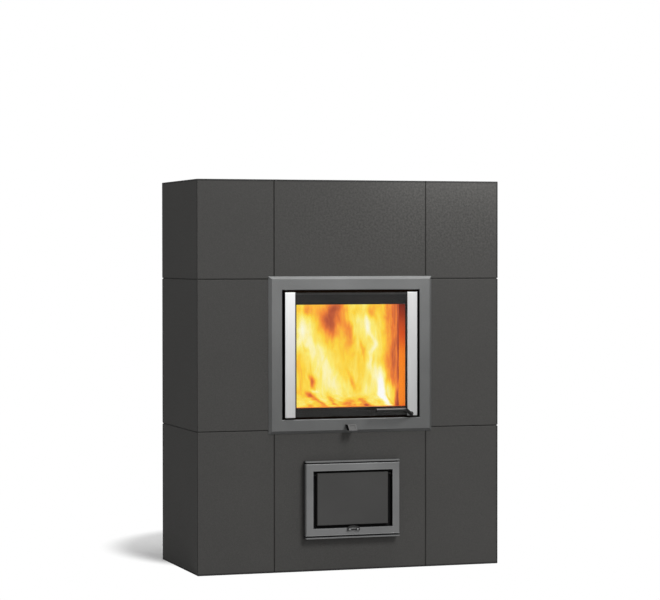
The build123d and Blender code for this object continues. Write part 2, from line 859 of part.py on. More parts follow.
def ash_door_liner():
    """The insulating board in the leaf, below the line of the pins."""
    half, low, high = grow(ash_leaf_outline, -ash_leaf_flange)
    top = ash_leaf_outline[2] - ash_hinge_from_top - ash_liner_drop
    liner_d = ash_leaf_face_d - ash_leaf_sheet
    y = (out(liner_d), out(liner_d - ash_liner_thickness))
    board = block((-half, half), y, (low, top))
    hole_z = ash_leaf_outline[2] - ash_hinge_from_top
    hole_y = out(ash_leaf_face_d - ash_hinge_from_face)
    relief = ash_pin_radius + face_clearance
    return board - rod_x((-half, half), hole_y, hole_z, relief)


# ---------------------------------------------------------------- latch bow of the hatch
def latch_axis():
    """The Y and Z of the pin of the bow."""
    return out(hatch_depth + bow_pin_depth), hatch_opening[1] - bow_pin_drop


def latch_ears():
    """Two ears on the lower member of the cover, between the legs of the bow."""
    y, z = latch_axis()
    outer = bow_half_width - bow_leg_width - latch_side_clearance
    span = (outer - latch_ear_width, outer)
    ear = rod_x(span, y, z, bow_eye_radius)
    ear += block(span, (y, out(hatch_depth)), (z - bow_eye_radius, z + bow_eye_radius))
    return [ear, mirrored(ear)]


def latch_pin():
    """The pin that is fixed in the ears."""
    y, z = latch_axis()
    return rod_x((-bow_half_width, bow_half_width), y, z, bow_pin_radius)


def ash_latch():
    """The bow: two legs on the pin and an arched crown before the foot of the leaf."""
    y, z = latch_axis()
    crown_z = ash_leaf_outline[1] - bow_top_clearance
    half = bow_half_width
    inner = half - bow_leg_width
    back = y + bow_eye_radius + face_clearance
    plane = Plane(origin=(0, back, 0), x_dir=(1, 0, 0), z_dir=(0, -1, 0))
    shoulder = crown_z - bow_sag
    outline = Polyline((half, shoulder), (half, z), (-half, z), (-half, shoulder))
    outline += ThreePointArc((-half, shoulder), (0, crown_z), (half, shoulder))
    inner_shoulder = shoulder - bow_crown_height
    hollow = Polyline((inner, inner_shoulder), (inner, z), (-inner, z), (-inner, inner_shoulder))
    hollow += ThreePointArc(
        (-inner, inner_shoulder), (0, crown_z - bow_crown_height), (inner, inner_shoulder))
    bow = extrude(plane * (make_face(outline) - make_face(hollow)), bow_thickness)
    for side in (-1, 1):
        span = (side * inner, side * half)
        bow += rod_x(span, y, z, bow_eye_radius)
        bow += block(span, (y, back), (z, z + bow_eye_radius))
    return bow - rod_x((-half - cut_past, half + cut_past), y, z, bow_pin_radius + running_clearance)


def ash_hatch_pins():
    """The leaf's two stub pins and the pin of the bow."""
    return group(*ash_leaf_pins(), latch_pin())


# ---------------------------------------------------------------- ash pan
def ash_pan():
    """The drawn pan with a turned-out rim and a strap handle on its front."""
    half = sleeve_inner[0] - pan_side_clearance
    front = core_back_y - ash_rear_wall - pan_rear_gap - pan_length
    rear = front + pan_length
    z = (ash_floor_z, ash_floor_z + pan_height)
    pan = block((-half + pan_rim, half - pan_rim), (front + pan_rim, rear - pan_rim), z)
    rim_z = (z[1] - pan_sheet, z[1])
    pan += block((-half, half), (front, rear), rim_z)
    wall = pan_rim + pan_sheet
    inside_z = (z[0] + pan_sheet, z[1] + cut_past)
    pan -= block((-half + wall, half - wall), (front + wall, rear - wall), inside_z)
    return pan + pan_handle(front + pan_rim, z[1] - pan_handle_drop)


def pan_handle(face_y, level):
    """A bent strap on the front of the pan."""
    z = (level - pan_handle_height / 2, level + pan_handle_height / 2)
    half = pan_handle_width / 2
    strap = block((-half, half), (face_y - pan_handle_reach, face_y), z)
    strap = fillet(strap.edges().filter_by(Axis.Z).sort_by(Axis.Y)[:2], pan_handle_bend)
    half -= pan_handle_strap
    hollow = block((-half, half), (face_y - pan_handle_reach + pan_handle_strap, face_y), z)
    inner_bend = pan_handle_bend - pan_handle_strap
    return strap - fillet(hollow.edges().filter_by(Axis.Z).sort_by(Axis.Y)[:2], inner_bend)


# ---------------------------------------------------------------- the whole stove
def shell_parts():
    parts = {}
    for row in tile_rows:
        tile = corner_tile(row)
        parts[f"corner_tile_{row}_right"] = tile
        parts[f"corner_tile_{row}_left"] = mirrored(tile)
        parts[f"back_tile_{row}"] = back_tile(row)
    parts["front_tile_bottom"] = front_tile("bottom")
    parts["front_tile_top"] = front_tile("top")
    end = inner_x - cover_clearance
    side_cover = cover_tile((corner_tile_x, end))
    parts["cover_tile_right"] = side_cover
    parts["cover_tile_left"] = mirrored(side_cover)
    parts["cover_tile_centre"] = cover_tile((-centre_tile_half, centre_tile_half))
    parts["joint_mortar"] = joint_mortar()
    return parts


def core_parts():
    full_y = (core_front_y, core_back_y)
    centre_x = (-centre_core_half, centre_core_half)
    full_x = (-core_x, core_x)
    chamber_x = (-ash_chamber_half, ash_chamber_half)
    ash_wall_z = (ash_floor_z, hearth_under_z)
    ash_wall = block((ash_chamber_half, centre_core_half), full_y, ash_wall_z)
    lintel_z = (sleeve_outer[2] + lintel_clearance, hearth_under_z)
    lintel_y = (core_front_y, core_front_y + ash_rear_wall)
    rear_wall_y = (core_back_y - ash_rear_wall, core_back_y)
    side_brick = hearth_side_brick()
    side_lining = firebox_side_lining()
    stack = storage_blocks()
    return {
        "base_slab": block(full_x, full_y, (0, base_slab_height)),
        "plinth_blocks": plinth_blocks(),
        "ash_floor_slab": block(centre_x, full_y, (ash_floor_under_z, ash_floor_z)),
        "ash_chamber_wall_right": ash_wall,
        "ash_chamber_wall_left": mirrored(ash_wall),
        "ash_chamber_wall_rear": block(chamber_x, rear_wall_y, ash_wall_z),
        "ash_chamber_lintel": block(chamber_x, lintel_y, lintel_z),
        "hearth_brick_right": side_brick,
        "hearth_brick_left": mirrored(side_brick),
        "hearth_cross_bricks": hearth_cross_bricks(),
        "fire_grate": fire_grate(),
        "firebox_lining_right": side_lining,
        "firebox_lining_left": mirrored(side_lining),
        "firebox_lining_rear": firebox_rear_slab(),
        "baffle_plate": baffle_plate(),
        "smoke_chamber_front": smoke_block(True),
        "smoke_chamber_rear": smoke_block(False),
        "storage_blocks_right": stack,
        "storage_blocks_left": mirrored(stack),
        "core_cap": block(full_x, full_y, (storage_top_z, core_cap_top_z)),
        "insulation_board": block(full_x, full_y, (core_cap_top_z, core_top_z)),
        "flue_collar": flue_collar(),
    }


def door_parts():
    return {
        "door_frame": door_frame(),
        "door_hinge_pins": door_hinge_pins(),
        "door_cassette": door_cassette(),
        "latch_keeper": latch_keeper(),
        "door_leaf": door_leaf(),
        "door_glass": door_glass(),
        "glass_gasket": glass_gasket(),
        "door_seal": door_seal(),
        "trim_strip_right": trim_strip_with_spindle_hole(),
        "trim_strip_left": mirrored(trim_strip()),
        "door_handle": door_handle(),
        "latch_tongue": latch_tongue(),
        "air_duct": air_duct(),
        "air_slider": air_slider(),
        "air_tab": air_tab(),
    }


def hatch_parts():
    return {
        "ash_frame_base": ash_frame_base(),
        "ash_frame_cover": ash_frame_cover(),
        "ash_hatch_pins": ash_hatch_pins(),
        "ash_door_leaf": ash_door_leaf(),
        "ash_door_liner": ash_door_liner(),
        "ash_latch": ash_latch(),
        "ash_pan": ash_pan(),
    }


def main():
    os.makedirs("parts", exist_ok=True)
    for parts in (shell_parts(), core_parts(), door_parts(), hatch_parts()):
        for name, shape in parts.items():
            export_step(shape, f"parts/{name}.step")


main()
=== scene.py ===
import math
import random

import bpy
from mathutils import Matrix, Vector


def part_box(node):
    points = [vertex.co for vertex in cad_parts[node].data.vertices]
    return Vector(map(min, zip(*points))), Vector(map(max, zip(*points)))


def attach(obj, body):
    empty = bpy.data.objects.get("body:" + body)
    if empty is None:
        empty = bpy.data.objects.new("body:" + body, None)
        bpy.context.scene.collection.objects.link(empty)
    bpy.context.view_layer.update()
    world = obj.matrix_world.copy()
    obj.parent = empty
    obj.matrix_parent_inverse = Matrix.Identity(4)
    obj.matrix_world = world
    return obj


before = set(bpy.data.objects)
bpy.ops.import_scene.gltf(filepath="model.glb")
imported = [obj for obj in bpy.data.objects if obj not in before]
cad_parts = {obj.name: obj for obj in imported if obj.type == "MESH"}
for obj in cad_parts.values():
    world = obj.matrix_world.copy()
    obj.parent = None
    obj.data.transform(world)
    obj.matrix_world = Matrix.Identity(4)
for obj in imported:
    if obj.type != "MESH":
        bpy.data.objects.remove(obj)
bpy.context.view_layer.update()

# ---------------------------------------------------------------- places, in metres
front_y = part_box("front_tile_top")[0][1]
shell_right, _, shell_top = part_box("corner_tile_top_right")[1]
glass_low, glass_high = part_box("door_glass")
frame_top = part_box("door_frame")[1][2]
grate_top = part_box("fire_grate")[1][2]
baffle_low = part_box("baffle_plate")[0][2]
lining_inner_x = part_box("firebox_lining_right")[0][0]
tab_left, tab_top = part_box("air_tab")[0][0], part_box("air_tab")[1][2]
hatch_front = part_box("ash_frame_base")[0][1]
hatch_low, hatch_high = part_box("ash_frame_base")[0][2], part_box("ash_frame_base")[1][2]

# Half width, foot and head of an opening, and foot and head of a frame's outline
FRAME_OPENING = (0.228, 0.479, 0.8845)
HATCH_OPENING = (0.1315, 0.1365, 0.3165)
HATCH_OUTLINE = (0.1125, 0.3395)
NO_OUTLINE = (-9.0, 9.0)

# Heights between which a tone comes in: painted shade on the door frame, painted highlights on the
# tiles and the throat's painted fire glow
FRAME_SHADE_HEIGHTS = (0.58, 0.90)
PAINTED_GLINT_Z = (0.86, 1.08)
THROAT_GLOW_RED = (0.670, 0.745)
THROAT_GLOW_DARK = (0.725, 0.850)

# The same for x: the reach of the tiles' painted highlights, and the flame's cooler and lining
# zones
PAINTED_GLINT_X = (-0.62, 0.30)
COOLER_FLAME_X = (0.155, 0.205)
LINING_FLAME_X = (0.180, 0.185)

# The clear window between the printed borders
WINDOW_HALF = 0.181
WINDOW_LOW = 0.515
WINDOW_HIGH = 0.8385

# How far a tone reaches past the plane of the faces that it is for
HAIR = 0.0002
TAB_SKIN = 0.0003
FLANK_SKIN = 0.0008
FRONT_SKIN = 0.001

# Widths of the arrises darkened with painted shade, of the bevels with painted shade or a painted
# highlight, and of the hatch's grey-painted rims beside its painted black shade
ARRIS = 0.006
REAR_ARRIS = 0.009
FRAME_BEVEL = 0.009
EDGE_BEVEL = 0.003
HATCH_RIM_HEAD = 0.0043
HATCH_RIM_FOOT = 0.0045
HATCH_RIM_DEPTH = 0.016
THROAT_SET_BACK = 0.0026
TAB_TAPER = 0.125  # run to the right for each unit of drop

# The printed border of the pane
PRINT_INSET_X = 0.0005
PRINT_INSET_Z = 0.0008
PRINT_DEPTH = 0.0004
PRINT_THICKNESS = 0.0002
# a painted highlight along the pane's head, in the print
PRINT_HIGHLIGHT_BAND = (0.008, 0.004)  # below the pane's head, where the print turns greyer

# The curtains of flame
FLAME_CELLS = 60
FLAME_STRENGTH = 1.04
FLARE_HEIGHT = 0.12  # share of the sheet's height over which its foot spreads
FLAME_DRIFT = 0.04
NATURAL_BASE = 2.718

# Floor, lights and camera; the camera was fitted to the photograph, and its angles are in degrees
FLOOR_RADIUS = 1.7
FLOOR_CLEAR_FROM = 1.0
FLOOR_OVAL = (0.66, 0.72)  # half axes of the oval that takes the shadow
FLOOR_OVAL_Y = 0.45
FLOOR_WHITE = (0.78, 0.98)  # shares of those axes between which the floor turns white
AMBIENT_STRENGTH = 0.26
SOFTBOXES = [
    # name, place, target, size, power
    ("key_light", (1.5, -3.85, 3.7), (0.0, -0.2, 0.6), (1.6, 1.6), 161.0),
    ("top_light", (0.6, -0.6, 5.0), (0.0, -0.2, 0.0), (2.4, 2.4), 130.0),
    ("fill_light", (-4.2, -0.5, 2.5), (-0.5, 0.0, 1.0), (2.0, 2.0), 47.0),
    ("front_light", (1.2, -5.6, 1.9), (0.1, -0.2, 0.75), (1.9, 2.0), 38.0),
    ("foot_light", (-1.4, -4.4, 0.6), (-0.2, -0.2, 0.1), (1.2, 0.8), 5.0),
    ("rim_light", (0.62, -0.38, 1.37), (0.62, -0.22, 1.27), (1.0, 0.08), 1.6),
]
GLOW_PLACE = (-0.02, -0.115, 0.62)
GLOW_RADIUS = 0.03
GLOW_POWER = 1.2
CAMERA_PLACE = (-2.4306, -7.4096, 0.9933)
CAMERA_PITCH, CAMERA_ROLL, CAMERA_YAW = -1.064, 0.04, -18.19
SENSOR_WIDTH = 36.0
FOCAL_PIXELS = 2407.2
PICTURE_PIXELS = 660.0

# Noise scale, detail and roughness of the metallic grain in paint, and its bump
FLAKE = (1400.0, 2.0, 0.5)
FLAKE_BUMP = (0.12, 0.0002)

# Heat of the flame and its colour, from dark red to near white
FLAME_COLOURS = [
    (0.16, (0.30, 0.030, 0.012)),
    (0.28, (0.52, 0.095, 0.030)),
    (0.40, (0.87, 0.21, 0.030)),
    (0.50, (0.98, 0.40, 0.035)),
    (0.60, (1.0, 0.67, 0.042)),
    (0.72, (1.0, 0.85, 0.17)),
    (0.88, (1.0, 0.97, 0.66)),
    (1.0, (1.0, 1.0, 0.97)),
]

# Where the flame is cooler or hotter: centre x and z, half width, half height, slant, amount
PATCHES = [
    (-0.110, 0.820, 0.040, 0.018, 0.0, -0.10),
    (-0.112, 0.762, 0.014, 0.045, 0.0, 0.16),
    (-0.086, 0.705, 0.026, 0.060, -0.2, 0.13),
    (-0.052, 0.655, 0.026, 0.075, -0.5, 0.04),
    (-0.016, 0.575, 0.022, 0.060, -0.3, 0.03),
    (-0.010, 0.788, 0.034, 0.062, 0.0, -0.36),
    (0.016, 0.826, 0.030, 0.025, 0.0, -0.22),
    (-0.002, 0.742, 0.010, 0.026, 0.0, -0.10),
    (0.036, 0.765, 0.024, 0.050, -0.3, -0.10),
    (0.052, 0.735, 0.014, 0.045, -0.2, -0.10),
    (0.083, 0.814, 0.035, 0.022, 0.0, -0.11),
    (0.083, 0.669, 0.014, 0.030, 0.0, -0.06),
    (0.098, 0.695, 0.010, 0.030, -0.3, -0.14),
    (0.082, 0.768, 0.018, 0.038, 0.3, 0.07),
    (0.113, 0.780, 0.010, 0.036, 0.0, 0.17),
    (0.130, 0.735, 0.010, 0.030, -0.6, 0.15),
    (0.136, 0.698, 0.010, 0.020, 0.6, 0.12),
    (0.126, 0.655, 0.011, 0.036, 0.1, 0.13),
    (0.137, 0.655, 0.005, 0.018, 0.0, -0.14),
    (0.124, 0.575, 0.016, 0.060, 0.0, 0.10),
    (0.103, 0.560, 0.014, 0.050, 0.0, 0.07),
    (0.154, 0.595, 0.018, 0.045, -0.35, 0.25),
    (0.166, 0.545, 0.014, 0.045, 0.0, 0.42),
    (0.128, 0.815, 0.016, 0.030, -0.1, -0.18),
    (0.036, 0.566, 0.012, 0.045, -0.55, 0.08),
    (0.060, 0.585, 0.008, 0.036, -0.5, -0.14),
    (-0.076, 0.588, 0.015, 0.018, -0.2, -0.32),
    (-0.091, 0.590, 0.005, 0.022, -0.1, 0.14),
    (-0.070, 0.558, 0.018, 0.006, 0.0, 0.14),
    (-0.082, 0.538, 0.012, 0.014, -0.6, -0.34),
    (-0.062, 0.520, 0.008, 0.018, -0.3, -0.20),
    (-0.102, 0.518, 0.010, 0.016, -0.3, -0.16),
    (-0.018, 0.526, 0.009, 0.018, 0.0, -0.22),
    (0.033, 0.517, 0.026, 0.010, 0.0, -0.32),
    (0.087, 0.514, 0.013, 0.009, 0.0, -0.25),
]


# ---------------------------------------------------------------- node helpers
def grey(level):
    return (level, level, level)


class Shade:
    """A material's node tree with short calls for the nodes that the finishes share."""

    def __init__(self, name):
        self.material = bpy.data.materials.new(name)
        self.material.use_nodes = True
        self.tree = self.material.node_tree
        self.shader = self.tree.nodes["Principled BSDF"]
        self.place = self.node("ShaderNodeTexCoord").outputs["Object"]

    def node(self, kind, **settings):
        made = self.tree.nodes.new(kind)
        for key, value in settings.items():
            setattr(made, key, value)
        return made

    def link(self, source, target):
        self.tree.links.new(source, target)

    def feed(self, socket, value):
        """Link an output to the socket, or set it to a number or a colour."""
        if isinstance(value, bpy.types.NodeSocket):
            self.link(value, socket)
        elif isinstance(value, tuple):
            socket.default_value = (*value, 1.0)
        else:
            socket.default_value = value

    def set(self, **values):
        """Constants on the shader's own sockets."""
        for key, value in values.items():
            self.shader.inputs[key.replace("_", " ")].default_value = value
        return self

    def stretched(self, scale):
        """Object coordinates, scaled per axis."""
        mapping = self.node("ShaderNodeMapping")
        mapping.inputs["Scale"].default_value = scale
        self.link(self.place, mapping.inputs["Vector"])
        return mapping.outputs["Vector"]

    def noise(self, scale, detail, rough, stretch=None, distortion=0.0, offset=0.0):
        made = self.node("ShaderNodeTexNoise", noise_dimensions="4D")
        made.inputs["Scale"].default_value = scale
        made.inputs["Detail"].default_value = detail
        made.inputs["Roughness"].default_value = rough
        made.inputs["Distortion"].default_value = distortion
        made.inputs["W"].default_value = offset
        self.link(self.stretched(stretch) if stretch else self.place, made.inputs["Vector"])
        return made.outputs["Fac"]

    def ramp(self, value, stops):
        made = self.node("ShaderNodeValToRGB")
        while len(made.color_ramp.elements) < len(stops):
            made.color_ramp.elements.new(0.5)
        for element, (place, colour) in zip(made.color_ramp.elements, stops):
            element.position = place
            element.color = (*colour, 1.0)
        self.link(value, made.inputs["Fac"])
        return made.outputs["Color"]

    def two_tone(self, value, first, second, low=0.3, high=0.7):
        """The first colour up to low, the second from high on."""
        return self.ramp(value, [(low, first), (high, second)])

    def mix(self, factor, first, second, blend="MIX"):
        made = self.node("ShaderNodeMix", data_type="RGBA", blend_type=blend)
        self.feed(made.inputs[0], factor)
        self.feed(made.inputs[6], first)
        self.feed(made.inputs[7], second)
        return made.outputs[2]

    def tinted(self, colour, tint, factor=1.0):
        return self.mix(factor, colour, tint, "MULTIPLY")

    def blend(self, factor, first, second):
        """One shader, and the other where the factor is 1."""
        made = self.node("ShaderNodeMixShader")
        for socket, source in zip(made.inputs, (factor, first, second)):
            self.link(source, socket)
        return made.outputs[0]

    def maths(self, operation, first, second=0.0):
        made = self.node("ShaderNodeMath", operation=operation)
        self.feed(made.inputs[0], first)
        self.feed(made.inputs[1], second)
        return made.outputs[0]

    def plus(self, first, second):
        return self.maths("ADD", first, second)

    def minus(self, first, second):
        return self.maths("SUBTRACT", first, second)

    def times(self, first, *others):
        """The product; of zones that are 0 or 1, where all of them hold."""
        for other in others:
            first = self.maths("MULTIPLY", first, other)
        return first

    def either(self, first, *others):
        """The largest; of zones that are 0 or 1, where any of them holds."""
        for other in others:
            first = self.maths("MAXIMUM", first, other)
        return first

    def above(self, value, limit):
        return self.maths("GREATER_THAN", value, limit)

    def below(self, value, limit):
        return self.maths("LESS_THAN", value, limit)

    def axis(self, letter):
        made = self.node("ShaderNodeSeparateXYZ")
        self.link(self.place, made.inputs[0])
        return made.outputs[letter]

    def from_middle(self):
        """The distance from the stove's middle plane."""
        return self.maths("ABSOLUTE", self.axis("X"))

    def between(self, value, low, high):
        """0 below low, 1 above high, smooth in between."""
        made = self.node("ShaderNodeMapRange", interpolation_type="SMOOTHSTEP")
        made.inputs["From Min"].default_value = low
        made.inputs["From Max"].default_value = high
        self.link(value, made.inputs["Value"])
        return made.outputs["Result"]

    def colour(self, value):
        self.feed(self.shader.inputs["Base Color"], value)
        return self

    def rough(self, value, low, high):
        """Roughness that follows a 0 to 1 value between two limits."""
        made = self.node("ShaderNodeMapRange")
        made.inputs["To Min"].default_value = low
        made.inputs["To Max"].default_value = high
        self.link(value, made.inputs["Value"])
        self.link(made.outputs["Result"], self.shader.inputs["Roughness"])
        return self

    def bump(self, height, strength, distance):
        made = self.node("ShaderNodeBump")
        made.inputs["Strength"].default_value = strength
        made.inputs["Distance"].default_value = distance
        self.link(height, made.inputs["Height"])
        self.link(made.outputs["Normal"], self.shader.inputs["Normal"])
        return self

    def surface(self, source):
        """Use another shader than the tree's own as the material's surface."""
        self.link(source, self.tree.nodes["Material Output"].inputs["Surface"])
        return self


# ---------------------------------------------------------------- finishes
def tile_finish(name, seed):
    """Matt warm grey ceramic with a fine stipple, painted highlights towards the top right and
    painted shade on the outer arrises.
    """
    s = Shade(name).set(IOR=1.45)
    x, y, z = s.axis("X"), s.axis("Y"), s.axis("Z")
    grain = s.noise(420.0, 3.0, 0.6, offset=seed)
    coarse = s.noise(150.0, 2.0, 0.5, offset=seed + 1.0)
    cloud = s.noise(5.0, 2.0, 0.5, offset=seed + 2.0)
    painted_glint = s.noise(150.0, 2.0, 0.6, offset=seed + 3.0)
    base = s.two_tone(cloud, (0.0415, 0.0404, 0.0380), (0.0445, 0.0433, 0.0408))
    speck = s.ramp(grain, [(0.38, grey(0.86)), (0.52, grey(1.0)), (0.68, (1.16, 1.155, 1.14))])
    body = s.tinted(base, speck)
    # painted highlights: the stipple is coarser towards the top right, where the light grazes the
    # tiles
    painted_glint = s.two_tone(painted_glint, grey(0.78), (1.22, 1.22, 1.215), 0.40, 0.60)
    painted_glint_zone = s.times(s.between(z, *PAINTED_GLINT_Z), s.between(x, *PAINTED_GLINT_X))
    body = s.tinted(body, painted_glint, painted_glint_zone)
    # painted shade on the arrises under the top, at the foot, at the front's right and at both ends
    # of the sides
    under_top = s.times(s.above(z, shell_top - ARRIS), s.below(z, shell_top - HAIR))
    foot = s.below(z, ARRIS)
    right = s.times(s.above(x, shell_right - ARRIS), s.below(y, front_y + FRONT_SKIN))
    sides = s.above(s.from_middle(), shell_right - FLANK_SKIN)
    ends = s.either(s.below(y, front_y + ARRIS), s.above(y, -front_y - REAR_ARRIS))
    dark = s.either(under_top, foot, right, s.times(sides, ends))
    s.colour(s.mix(dark, body, (0.016, 0.0157, 0.015)))
    s.rough(coarse, 0.62, 0.78)
    return s.bump(s.plus(grain, s.times(coarse, 0.6)), 0.35, 0.0006).material


def mortar_finish():
    """Dark sandy mortar."""
    s = Shade("mortar_finish").set(Roughness=0.95)
    grain = s.noise(900.0, 3.0, 0.6)
    s.colour(s.two_tone(grain, (0.012, 0.012, 0.011), (0.03, 0.029, 0.027)))
    return s.bump(grain, 0.4, 0.0005).material


def cast_stone_finish(name, dark, light, pores):
    """Refractory concrete, fireclay or board: mottled, with fine pores."""
    s = Shade(name)
    cloud = s.noise(9.0, 4.0, 0.6)
    grain = s.noise(pores, 4.0, 0.7)
    speck = s.ramp(grain, [(0.36, grey(0.6)), (0.5, grey(1.0)), (0.66, grey(1.15))])
    s.colour(s.tinted(s.two_tone(cloud, dark, light), speck))
    s.rough(grain, 0.8, 0.95)
    return s.bump(grain, 0.5, 0.0012).material


def fire_lining_finish():
    """Fireclay round the fire: pale where it burns clean, with patches of soot."""
    s = Shade("fire_lining_finish")
    cloud = s.noise(14.0, 4.0, 0.6)
    grain = s.noise(260.0, 3.0, 0.6)
    clay = s.two_tone(cloud, (0.33, 0.25, 0.17), (0.5, 0.4, 0.29))
    soot = s.two_tone(s.noise(6.0, 3.0, 0.6, offset=4.0), grey(0), grey(1), 0.42, 0.62)
    s.colour(s.mix(s.times(soot, 0.7), clay, (0.05, 0.04, 0.035)))
    s.rough(grain, 0.8, 0.95)
    return s.bump(grain, 0.5, 0.001).material


def shaded_coat(s, coat, foot, head):
    """The door frame's paint with painted shade: darker towards the foot and on the top bevel."""
    z = s.axis("Z")
    coat = s.tinted(coat, s.two_tone(s.between(z, foot, head), grey(0.77), grey(1.0), 0.0, 1.0))
    return s.tinted(coat, grey(0.76), s.above(z, frame_top - FRAME_BEVEL))


def edged_coat(s, coat, opening, outline):
    """Paint with painted highlights on the bevels and round the opening, and painted shade in black
    on level edges and the opening's walls.
    """
    half, low, high = opening
    foot, head = outline
    x = s.from_middle()
    z = s.axis("Z")

    def inside(reach):
        return s.times(s.below(x, half + reach), s.above(z, low - reach), s.below(z, high + reach))

    bevels = s.either(s.below(z, foot + EDGE_BEVEL), s.above(z, head - EDGE_BEVEL))
    # painted highlights on the bevels and round the opening
    painted_edge_highlight = s.either(s.times(inside(EDGE_BEVEL), 0.25), bevels)
    coat = s.tinted(coat, s.mix(painted_edge_highlight, grey(1.0), grey(1.5)))
    # painted shade in black on level edges and the opening's walls
    black = s.either(inside(HAIR), s.below(z, foot + HAIR), s.above(z, head - HAIR))
    return s.mix(black, coat, grey(0.004))


def frame_paint_finish(
        name, colour, roughness, metallic, opening=None, outline=NO_OUTLINE, shade_heights=None):
    """Satin heat-proof paint with a fine metallic grain."""
    s = Shade(name).set(Metallic=metallic, IOR=1.5)
    flake = s.noise(*FLAKE)
    cloud = s.noise(7.0, 2.0, 0.5)
    dark = tuple(0.9 * c for c in colour)
    light = tuple(1.08 * c for c in colour)
    speck = s.two_tone(flake, grey(0.88), grey(1.12), 0.35, 0.65)
    coat = s.tinted(s.two_tone(cloud, dark, light), speck)
    # painted shade towards the frame's foot and on its top bevel
    if shade_heights:
        coat = shaded_coat(s, coat, *shade_heights)
    # painted highlights on the bevels, and painted shade in black on level edges and in the opening
    if opening:
        coat = edged_coat(s, coat, opening, outline)
    s.colour(coat)
    s.rough(flake, roughness - 0.05, roughness + 0.07)
    return s.bump(flake, *FLAKE_BUMP).material


def tab_finish():
    """Dark grey paint, with painted shade in black on the cut side towards the left."""
    s = Shade("tab_finish").set(IOR=1.2)
    flake = s.noise(*FLAKE)
    coat = s.two_tone(flake, (0.092, 0.091, 0.090), (0.112, 0.111, 0.110), 0.35, 0.65)
    # painted shade: the cut side, which leans in as it drops, turns black
    taper = s.times(s.minus(tab_top, s.axis("Z")), TAB_TAPER)
    side = s.below(s.minus(s.axis("X"), taper), tab_left + TAB_SKIN)
    s.colour(s.mix(side, coat, grey(0.003)))
    s.rough(side, 0.5, 0.9)
    return s.bump(flake, *FLAKE_BUMP).material


def hatch_base_finish():
    """The hatch frame's rims in grey paint; elsewhere black, as painted shade in the groove where
    its plate lies behind the cover.
    """
    s = Shade("hatch_base_finish").set(Metallic=0.35, IOR=1.5)
    flake = s.noise(*FLAKE)
    z = s.axis("Z")
    rims = s.either(s.above(z, hatch_high - HATCH_RIM_HEAD), s.below(z, hatch_low + HATCH_RIM_FOOT))
    painted = s.times(rims, s.below(s.axis("Y"), hatch_front + HATCH_RIM_DEPTH))
    coat = s.two_tone(flake, (0.145, 0.147, 0.147), (0.182, 0.184, 0.184), 0.35, 0.65)
    # black outside the front of the rims is painted shade in the groove
    s.colour(s.mix(painted, grey(0.003), coat))
    s.rough(painted, 0.9, 0.45)
    return s.bump(flake, *FLAKE_BUMP).material


def pin_finish():
    """Dark steel pins, made near black as painted shade deep in their gaps."""
    s = Shade("pin_finish").set(Metallic=0.2)
    grain = s.noise(700.0, 2.0, 0.5)
    s.colour(s.two_tone(grain, grey(0.002), grey(0.004)))
    return s.rough(grain, 0.8, 0.95).material


def black_steel_finish():
    """Matt black paint, a little worn."""
    s = Shade("black_steel_finish").set(IOR=1.5)
    grain = s.noise(700.0, 3.0, 0.6)
    cloud = s.noise(12.0, 3.0, 0.5)
    s.colour(s.two_tone(cloud, grey(0.008), (0.016, 0.0155, 0.015)))
    s.rough(cloud, 0.5, 0.68)
    return s.bump(grain, 0.2, 0.0003).material


def brushed_finish(name, stretch, colour, roughness, brush):
    """Brushed stainless steel; the lines run along the axis with the smallest stretch."""
    s = Shade(name).set(Metallic=1.0)
    lines = s.noise(1.0, 3.0, 0.65, stretch=stretch)
    cloud = s.noise(18.0, 2.0, 0.5)
    s.colour(s.two_tone(lines, tuple(0.93 * c for c in colour), colour))
    wear = s.plus(s.times(lines, 0.7), s.times(cloud, 0.3))
    s.rough(wear, roughness - 0.06, roughness + 0.08)
    return s.bump(lines, brush, 0.0002).material


def throat_finish(name, from_y):
    """Black steel, metallic inside the throat, where painted glow and reflection of the fire run
    from orange at the foot to red and then dark red-brown at the head.
    """
    # the orange specular tint is a painted reflection of the fire
    s = Shade(name).set(IOR=1.2, Specular_Tint=(1.0, 0.40, 0.15, 1.0))
    grain = s.noise(1.0, 3.0, 0.6, stretch=(300.0, 300.0, 30.0))
    z = s.axis("Z")
    throat = s.times(
        s.below(s.from_middle(), WINDOW_HALF + THROAT_SET_BACK),
        s.above(s.axis("Y"), from_y),
        s.above(z, WINDOW_LOW - THROAT_SET_BACK),
        s.below(z, WINDOW_HIGH + THROAT_SET_BACK),
    )
    # painted fire glow, from orange at the foot to dark red-brown at the head
    glow_orange = s.two_tone(grain, (0.90, 0.34, 0.03), (1.0, 0.46, 0.045))
    red = s.mix(s.between(z, *THROAT_GLOW_RED), glow_orange, (0.72, 0.14, 0.025))
    tint = s.mix(s.between(z, *THROAT_GLOW_DARK), red, (0.12, 0.028, 0.015))
    s.colour(s.mix(throat, grey(0.008), tint))
    s.link(s.times(throat, 0.9), s.shader.inputs["Metallic"])
    s.rough(grain, 0.28, 0.42)
    return s.bump(grain, 0.15, 0.0003).material


def cast_iron_finish():
    """Raw cast iron."""
    s = Shade("cast_iron_finish").set(Metallic=0.4)
    grain = s.noise(350.0, 4.0, 0.7)
    cloud = s.noise(20.0, 3.0, 0.6)
    s.colour(s.two_tone(cloud, (0.02, 0.018, 0.017), (0.05, 0.045, 0.042)))
    s.rough(grain, 0.6, 0.85)
    return s.bump(grain, 0.5, 0.0008).material


def fibre_finish():
    """Graphited glass fibre with a fine ply."""
    s = Shade("fibre_finish").set(Roughness=0.95)
    ply = s.noise(1.0, 2.0, 0.5, stretch=(500.0, 500.0, 180.0))
    s.colour(s.two_tone(ply, (0.05, 0.048, 0.045), (0.13, 0.125, 0.12)))
    return s.bump(ply, 0.6, 0.0008).material


